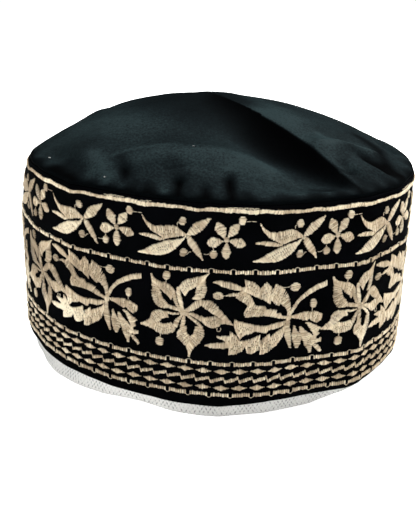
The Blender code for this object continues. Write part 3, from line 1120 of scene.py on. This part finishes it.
def smallFlower():
    return [
        # each petal's tone is painted light and shade, by how its stitches lie to the light
        leafShape((15.8, -0.2), (12.4, 6.4), 4.3, fat=0.58, tone=0.5, blunt=0.7),
        leafShape((17.0, 0.2), (21.2, 5.9), 4.0, fat=0.58, tone=0.66, blunt=0.7),
        leafShape((17.6, -1.2), (24.4, -2.9), 4.3, fat=0.60, tone=0.44, blunt=0.7),
        leafShape((16.6, -2.2), (16.5, -9.2), 3.9, fat=0.58, tone=0.64, blunt=0.7),
        leafShape((15.2, -1.4), (8.6, -2.6), 4.6, fat=0.60, tone=0.62, blunt=0.7),
        dotShape((16.4, -0.9), 2.5, 0.36),
    ]


# where each stands: the ones that the photograph shows as measured, the rest spaced evenly
upperRow = {"height": 80.3, "seen": (-105.4, -57.3, -10.1, 38.6, 85.2), "total": 12}


def makeUpperRow():
    seen = list(upperRow["seen"])
    left = upperRow["total"] - len(seen)
    gap = (seen[0] + girth - seen[-1]) / (left + 1)
    places = seen + [seen[-1] + gap * (i + 1) for i in range(left)]
    tulips, flowers = [], []
    for run in places:
        tulips += [moved(batch, run, upperRow["height"]) for batch in tulip()]
        flowers += [moved(batch, run, upperRow["height"]) for batch in smallFlower()]
    makeStitches("upperTulips", tulips)
    makeStitches("upperFlowers", flowers)


makeUpperRow()

# The lower row: a large flower whose five petals are drawn in two bands each, on stems, round a small disc
petalBands = {
    "upperLeft": (
        (((-8, 0.3), (-11, 0.8), (-13, 3), (-14, 6), (-14, 11), (-14.6, 15)),
         ((-6.3, 2.6), (-7.4, 4), (-8.8, 5.4), (-9.4, 7), (-10.3, 9.6), (-14.2, 15.3))),
        (((-14.2, 15.3), (-12, 13.3), (-9.5, 12.6), (-7.2, 12.3), (-5, 11.2), (-3.7, 9.7)),
         ((-14.6, 15), (-12.4, 11.4), (-10, 8.9), (-7.7, 7), (-6.1, 5.6), (-5.4, 4.3))),
        (((-0.9, 1.1), (-4, 2.3), (-7.5, 2.8)), ((-0.9, -0.2), (-4, 0.3), (-8.4, 0.8))),
        (((-4.9, 9.5), (-4.6, 5.8), (-3.6, 3.2), (-1.6, 0.9)),
         ((-3.4, 9.3), (-2.8, 6), (-1.9, 3.4), (-0.4, 1.3))),
    ),
    "upperRight": (
        (((-2.3, 11.2), (-1, 13.4), (1.2, 15.1), (4, 15.9), (7, 16.8), (10.4, 18.2)),
         ((1, 7.1), (1.6, 8.4), (2.6, 10), (4.4, 11.2), (7, 13.6), (10.1, 17.9))),
        (((10.4, 18.2), (9.2, 15.8), (9.6, 11.8), (9.5, 9.4), (8.9, 7.6), (6.8, 6)),
         ((10.1, 17.9), (6.6, 14), (5.2, 11.7), (5, 10), (4.6, 8.2), (3.4, 6.3))),
        (((-1.1, 1), (-2.7, 6), (-3.2, 9), (-3, 11.2)), ((0.3, 1.2), (0, 4.5), (-0.9, 8), (-1.2, 11))),
    ),
    "right": (
        (((7.6, 6.4), (11.4, 6.2), (14, 4.3), (16.3, 1.7), (18.3, -0.6), (21.3, -4.3)),
         ((7.6, 3.2), (9.4, 2.1), (11.6, 0.5), (13.9, -0.9), (16.5, -2.5), (21, -4.7))),
        (((7, -3), (9.9, -5.4), (12.5, -6.3), (14.7, -5.7), (17.2, -4.2), (21, -4.7)),
         ((7.6, -0.6), (9, -1.5), (11, -1.2), (13.9, -0.7), (17, -2.1), (21.3, -4.3))),
        (((0.8, 1.2), (3, 3.7), (6, 6.3), (7.8, 6.6)), ((1.2, 0.2), (4, 0.7), (6.8, 2.6), (8, 4))),
        (((1, 0.4), (4, 0.2), (6, -0.4), (8, -1.7)), ((0.9, -0.8), (3.2, -1.3), (5.1, -2.4), (7.6, -3.7))),
    ),
    "bottom": (
        (((8.8, -5.6), (9.4, -8.6), (8.9, -11.5), (7, -14.2), (4.6, -17.2), (3.3, -20.7)),
         ((5, -6), (4.9, -8.1), (4.4, -9.8), (3.2, -11), (2.6, -14.5), (2.7, -20.5))),
        (((-1.2, -7.2), (-2.5, -10.8), (-1.6, -13.1), (0.5, -15), (2.2, -17.3), (2.9, -20.5)),
         ((1.9, -6), (1.8, -8.2), (2.5, -9.9), (3.2, -11), (3.6, -14.5), (3.5, -20.7))),
        (((1.9, -0.6), (5, -2.5), (7.7, -4.7), (9, -6.4)), ((1, -1.4), (4, -3.7), (6.7, -5.9), (7.8, -7))),
        (((0, -1.4), (-0.8, -4), (-1.1, -7.2)), ((0.8, -1.5), (1.2, -4), (0.9, -6.6))),
    ),
    "left": (
        (((-7, -0.6), (-10, -0.4), (-12.7, -1.1), (-14, -3.1), (-15, -5.4), (-18.8, -8.3)),
         ((-6, -3.6), (-7.8, -4.1), (-9.2, -4.9), (-10.5, -6.4), (-13, -7.8), (-18.6, -8.7))),
        (((-2.6, -8.3), (-4.2, -10.3), (-7.5, -11.5), (-11.1, -11.3), (-14, -9.7), (-18.6, -8.7)),
         ((-4.8, -5.2), (-6.1, -5.9), (-8.3, -6.4), (-10.5, -6.1), (-13, -7), (-18.8, -8.3))),
        (((-1, -1.4), (-3.6, -4.2), (-4.4, -7)), ((-0.1, -1.8), (-1.4, -4.6), (-2.2, -7.8))),
        (((-1.8, -0.5), (-4.6, -0.8), (-7, -0.5)), ((-1.6, -1.3), (-4.6, -1.9), (-6.8, -1.6))),
    ),
}
# each petal's tone is painted light and shade, by how its stitches lie to the light
petalTones = {"upperLeft": 0.40, "upperRight": 0.64, "right": 0.38, "bottom": 0.50, "left": 0.54}


def largeFlower():
    batches = []
    for petal, rows in petalBands.items():
        for outer, inner in rows:
            batches.append(satin(outer, inner, petalTones[petal] + dice.uniform(-0.04, 0.04)))
    batches.append(dotShape((0, 0), 3.5, 0.46))
    batches.append(dotShape((-7.4, 15.6), 4.0, 0.5))
    batches.append(threadShape(((-7.5, 13.8), (-7.6, 12.2)), 0.55))
    batches.append(dotShape((-9.8, -15.0), 4.2, 0.56))
    batches.append(threadShape(((-9.6, -13.0), (-9.5, -11.4)), 0.55))
    batches.append(threadShape(((14.6, -5.9), (14.4, -7.2), (15.3, -7.8), (16.2, -7.0), (15.9, -5.8)), 0.5))
    return batches


# A spray of toothed leaves on a curved stem, charted from the joint where they meet. Each row is one end of
# a stitch and the other.
sprayLeaves = {
    "stem": (
        ((-0.5, 2), (1, 0.5)), ((1.5, 5), (3, 4)), ((3, 7.5), (4.6, 6.5)), ((6, 10.5), (7.2, 8.6)),
        ((10, 13), (11, 10.5)), ((13.5, 14.5), (14.5, 12)), ((17, 15.6), (17.1, 12.6)),
    ),
    "upperLeaf": (
        ((-0.6, 1), (0.5, 1.5)), ((-1, 3.5), (1, 5)), ((-2.5, 5.5), (0.6, 7.5)), ((-5, 7.5), (-1, 11.5)),
        ((-5, 5.8), (-2.5, 13.5)), ((-7, 7.5), (-4, 15)), ((-8.5, 9), (-7.1, 16.6)), ((-9.6, 10), (-7, 14)),
        ((-9, 7.3), (-9, 15.5)), ((-10.5, 8.5), (-11, 17.6)), ((-12, 9.5), (-12.5, 16)), ((-14, 10),
         (-13.5, 14.4)),
        ((-16, 11), (-14.5, 16)), ((-17, 11.5), (-16.5, 17.5)), ((-18.5, 12.3), (-20.2, 18.7)),
        ((-19.5, 12.5), (-19.4, 16)), ((-20.5, 13), (-21, 15)), ((-23, 13.5), (-23.5, 16.5)),
         ((-26, 13.7), (-26, 17.2)),
        ((-29.5, 14.8), (-30, 17.7)), ((-33.2, 16.5), (-33.2, 17)),
    ),
    "upperLeafBack": (
        ((-16.5, 6), (-15.5, 8)), ((-17.5, 6), (-17, 11)), ((-20, 8), (-18, 12)), ((-21, 8.4), (-19, 13)),
        ((-23.6, 10), (-20, 13.5)), ((-23, 11.5), (-20.5, 14)), ((-22.3, 12), (-21, 14.6)),
    ),
    "sideTongue": (
        ((-27.5, 10.8), (-27.5, 11.2)), ((-25.5, 10.7), (-25.5, 12.3)), ((-22, 10.8), (-22.3, 12.6)),
    ),
    "middleLeaf": (
        ((-0.5, -0.5), (-0.3, 1)), ((-4, 0.2), (-3, 1.6)), ((-5, 0.5), (-3.5, 2.7)), ((-6.5, 1), (-6, 3.4)),
        ((-8, 1.4), (-5.4, 4.6)), ((-10, 1.8), (-8.5, 5.4)), ((-12, 2), (-10.5, 5.5)), ((-13.5, 2),
         (-10.8, 6.8)),
        ((-16.5, 2), (-14, 7)), ((-18, 1.6), (-15.5, 8)), ((-19, 1.5), (-16.7, 9.5)), ((-20.2, 2.4),
         (-17.3, 9.3)),
        ((-19.4, 4.6), (-17.6, 7.5)),
    ),
    "lowerStrip": (
        ((-1, -1), (-1, -2.5)), ((-3.5, -1.3), (-3.5, -4)), ((-5.5, -1.5), (-5.5, -4.5)), ((-8.5, -1.7),
         (-9, -4.5)),
        ((-9.5, -2), (-10, -6.2)), ((-12, -2), (-12.5, -5.5)), ((-14.5, -1.6), (-14.5, -5)),
        ((-16.5, -1.2), (-16.5, -6)), ((-18.5, -0.7), (-19, -6.5)), ((-20, -0.3), (-21, -8.7)),
        ((-21.5, 0), (-22, -7)), ((-23.6, 0.6), (-23.8, -2.4)),
    ),
    "lowerLeaf": (
        ((-1.2, -2.4), (-1, -5)), ((-2.5, -4), (-1.5, -7.5)), ((-4, -5), (-2.5, -9.5)), ((-6, -6),
         (-4.5, -12)),
        ((-8.5, -7.6), (-7, -13.5)), ((-8.4, -5.8), (-9, -15)), ((-10.5, -7.5), (-12.2, -16.2)),
        ((-13, -9), (-11.6, -13.4)), ((-12.4, -6.3), (-14, -14.5)), ((-15, -7.5), (-16, -15.6)),
        ((-17.5, -8.5), (-17.6, -15)), ((-19, -8.8), (-18.5, -12)), ((-21, -9), (-20, -14.5)),
        ((-22.5, -6.5), (-23, -15.6)), ((-25.2, -4.8), (-25.4, -16.2)), ((-24.4, -6.8), (-24.8, -13)),
        ((-27, -7), (-27.5, -9.6)), ((-30.7, -7.4), (-30.6, -8)),
    ),
    "lowerTongue": (
        ((-23.5, -9), (-23.5, -12.6)), ((-28, -9.9), (-28, -13.2)), ((-32.5, -10.5), (-32.5, -13.1)),
        ((-35.6, -11.8), (-35.6, -12.2)),
    ),
    "knot": (((-1.2, 0.9), (-0.9, -1.2)), ((0, 1.6), (0, -1.5)), ((1.3, 1.2), (1.3, -0.9))),
    "downLeaf": (
        ((-1, -1), (0.8, -1)), ((-1.2, -4), (1.2, -4)), ((-1.5, -6), (1.7, -5.8)), ((-1.6, -7.9),
         (2.2, -8)),
        ((-0.2, -11), (2.3, -11)), ((1.5, -14.2), (2.5, -14.6)),
    ),
    "toothOne": (
        ((2.9, -4), (3.5, -4)), ((2.5, -6.5), (4.9, -6.7)), ((2.1, -8.4), (6.9, -8.6)), ((2.5, -10.4),
         (7.2, -10.6)),
        ((3, -12.2), (7.0, -12.4)), ((3.6, -13.6), (6.4, -13.8)), ((4.6, -14.8), (5.4, -14.8)),
    ),
    "toothTwo": (
        ((5.8, -4.8), (6.4, -4.8)), ((5.5, -7), (8.9, -7)), ((6.3, -8.8), (11, -8.6)), ((6.9, -10.2),
         (12.6, -10)),
        ((7.6, -11.9), (14.2, -11.6)), ((8.2, -13.6), (13.4, -13.2)), ((9.4, -15.2), (12.4, -14.8)),
        ((10.9, -17.8), (11.7, -17.8)),
    ),
    "spurOne": (((11, -11.4), (12, -13.6)), ((13.5, -11.4), (14, -13.4)), ((16.2, -10.8), (16.1, -13))),
    "spurTwo": (((12.3, -14.6), (14, -13.4)), ((14, -16.4), (16, -15.4)), ((16, -18.1), (16.7, -17.1))),
    "chain": (
        ((8.2, -3.3), (8.6, -2.9)), ((9.4, -4.6), (10.8, -3.4)), ((10.4, -6.2), (13.2, -4.6)),
         ((11.2, -7.4), (15.8, -6.2)),
        ((11.6, -8.4), (14.4, -7.6)), ((11.9, -9.4), (15.3, -8.8)), ((12.2, -10.4), (14, -9.8)),
         ((12, -11.6), (13.6, -11.1)),
    ),
    "rightLeaf": (
        ((1.2, 1), (1.6, -0.2)), ((4.5, 1.7), (3.4, -0.8)), ((6.5, 2), (5.6, -1.5)), ((8.5, 2.2),
         (8.4, -2.4)),
        ((10.5, 2.1), (9.9, -1.8)), ((12.5, 1.8), (11.8, -3.2)), ((14, 1.3), (13.2, -4)), ((15.2, 0.7),
         (15.1, -2.8)),
        ((15.7, 0.2), (15.6, -1.5)),
    ),
}
# each leaf's tone is painted light and shade, by how its stitches lie to the light
sprayTones = {
    "stem": 0.60, "upperLeaf": 0.50, "upperLeafBack": 0.44, "sideTongue": 0.6, "middleLeaf": 0.47,
    "lowerStrip": 0.52, "lowerLeaf": 0.47, "lowerTongue": 0.55, "knot": 0.6, "downLeaf": 0.55, "toothOne": 0.5,
    "toothTwo": 0.55, "spurOne": 0.6, "spurTwo": 0.6, "chain": 0.56, "rightLeaf": 0.5,
}


def spray():
    batches = []
    for leaf, rows in sprayLeaves.items():
        first, other = zip(*rows)
        batches.append(satin(first, other, sprayTones[leaf], soft=leaf == "stem"))
    batches.append(dotShape((2.0, 14.2), 4.7, 0.60, tall=0.84))
    batches.append(threadShape(((-0.2, 14.4), (-1.8, 14.3), (-3.6, 14.4)), 0.62))
    batches.append(dotShape((11.2, 5.6), 3.5, 0.52, tall=1.2))
    batches.append(threadShape(((11.0, 3.7), (10.9, 1.9)), 0.62))
    batches.append(dotShape((-30.8, 10.9), 4.8, 0.56, tall=0.72))
    batches.append(threadShape(((-28.5, 10.9), (-27.2, 11.1)), 0.62))
    return batches


# The strip was cut at the seam behind, so a motif there loses what lies past it
lowerRow = {
    "flowers": (
        (-90.3, 45.9), (-10.4, 46.5), (68.8, 45.7), (148.6, 46), (228.4, 46), (-169.9, 46), (-249.5, 46),
    ),
    "sprays": ((-46.2, 45.6), (34.8, 44.1), (113.8, 44.5), (193.6, 44.5), (273, 44.5), (-125.2, 45.4), (-205, 44.5),
               (-284.5, 44.5)),
    "seam": 291.2,
}


def beforeSeam(batch):
    low, high = -lowerRow["seam"], lowerRow["seam"]
    runs = np.stack([batch["starts"][:, 0], batch["ends"][:, 0]])
    kept = (runs.min(axis=0) > low) & (runs.max(axis=0) < high)
    return dict(batch, starts=batch["starts"][kept], ends=batch["ends"][kept], tone=batch["tone"][kept])


def makeLowerRow():
    flowers, sprays = [], []
    for run, z in lowerRow["flowers"]:
        flowers += [beforeSeam(moved(batch, run, z)) for batch in largeFlower()]
    for run, z in lowerRow["sprays"]:
        sprays += [beforeSeam(moved(batch, run, z)) for batch in spray()]
    makeStitches("largeFlowers", flowers)
    makeStitches("leafSprays", sprays)


makeLowerRow()
print("flowers and sprays made")


# The camera stands a little above the cap, in front of the angle that the photograph shows
view = {
    "aimHeight": 0.0389,
    "aimLeft": 0.00083,
    "distance": 0.44,
    "elevation": 21.21,
    "roll": 2.39,
    "lens": 58.83,
}


def makeCamera():
    side, lift = math.radians(plan["frontAngle"]), math.radians(view["elevation"])
    right = Vector((math.cos(side), math.sin(side), 0))
    back = Vector((math.cos(lift) * math.sin(side), -math.cos(lift) * math.cos(side), math.sin(lift)))
    aim = Vector((0, 0, view["aimHeight"])) - right * view["aimLeft"]
    camera = bpy.data.cameras.new("camera")
    camera.lens = view["lens"]
    camera.sensor_width = 36
    camera.clip_start = 0.01
    stand = bpy.data.objects.new("camera", camera)
    bpy.context.scene.collection.objects.link(stand)
    stand.location = aim + back * view["distance"]
    facing = (-back).to_track_quat("-Z", "Y").to_matrix() @ Euler((0, 0, math.radians(view["roll"]))).to_matrix()
    stand.rotation_euler = facing.to_euler()
    bpy.context.scene.camera = stand


makeCamera()

# Lights are placed as the camera sees the cap: right, towards the camera, up, in metres; size and watts
lights = {
    "windowRight": ((0.53, -0.53, 0.78), 0.5, 8.2, (0.95, 1.0, 1.0)),
    "windowLeft": ((-0.53, -0.53, 0.78), 0.5, 3.4, (0.95, 1.0, 1.0)),
    "skylight": ((0.0, -0.37, 1.04), 0.5, 7.0, (0.97, 1.0, 1.0)),
    "key": ((0.37, 0.0, 1.04), 0.5, 13.0, (1.0, 0.99, 0.97)),
    "front": ((0.0, 0.97, 0.37), 0.5, 5.2, (1.0, 0.99, 0.97)),
    "fill": ((-0.87, 0.50, 0.08), 0.5, 4.0, (1.0, 0.99, 0.97)),
}
room = {"ambient": 0.0, "floorGlow": 0.05}


def makeLights():
    side = math.radians(plan["frontAngle"])
    right, front = Vector((math.cos(side), math.sin(side), 0)), Vector((math.sin(side), -math.cos(side), 0))
    for name, (place, size, power, colour) in lights.items():
        lamp = bpy.data.lights.new(name, "AREA")
        lamp.shape = "DISK"
        lamp.size = size
        lamp.energy = power
        lamp.color = colour
        stand = bpy.data.objects.new(name, lamp)
        bpy.context.scene.collection.objects.link(stand)
        stand.location = right * place[0] + front * place[1] + Vector((0, 0, place[2]))
        stand.rotation_euler = (Vector((0, 0, 0.06)) - stand.location).to_track_quat("-Z", "Y").to_euler()


def makeRoom():
    world = bpy.data.worlds.new("studio")
    world.use_nodes = True
    bpy.context.scene.world = world
    tree = world.node_tree
    background = tree.nodes["Background"]
    seen = tree.nodes.new("ShaderNodeLightPath")
    strength = tree.nodes.new("ShaderNodeMapRange")
    strength.inputs["To Min"].default_value = room["ambient"]
    strength.inputs["To Max"].default_value = 1.0
    tree.links.new(seen.outputs["Is Camera Ray"], strength.inputs["Value"])
    tree.links.new(strength.outputs["Result"], background.inputs["Strength"])
    background.inputs["Color"].default_value = (1.0, 1.0, 1.0, 1.0)
    deselectAll()
    bpy.ops.mesh.primitive_grid_add(x_subdivisions=8, y_subdivisions=8, size=8)
    floor = bpy.context.object
    floor.name = "studioFloor"
    material, tree, shader = newMaterial("paleFloor")
    where = tree.nodes.new("ShaderNodeTexCoord")
    cloud = noiseNode(tree, where.outputs["Object"], 6.0, 2.0)
    tree.links.new(colourRamp(tree, cloud, ((0.3, (0.90, 0.90, 0.90)), (0.7, (0.93, 0.93, 0.93)))), shader.inputs["Base Color"])
    shader.inputs["Roughness"].default_value = 0.9
    shader.inputs["Emission Color"].default_value = (1.0, 1.0, 1.0, 1.0)
    seen = tree.nodes.new("ShaderNodeLightPath")
    glow = tree.nodes.new("ShaderNodeMapRange")
    glow.inputs["To Min"].default_value = room["floorGlow"]
    glow.inputs["To Max"].default_value = 1.0
    tree.links.new(seen.outputs["Is Camera Ray"], glow.inputs["Value"])
    tree.links.new(glow.outputs["Result"], shader.inputs["Emission Strength"])
    floor.data.materials.append(material)


makeLights()
makeRoom()
bpy.context.scene.view_settings.view_transform = "Standard"
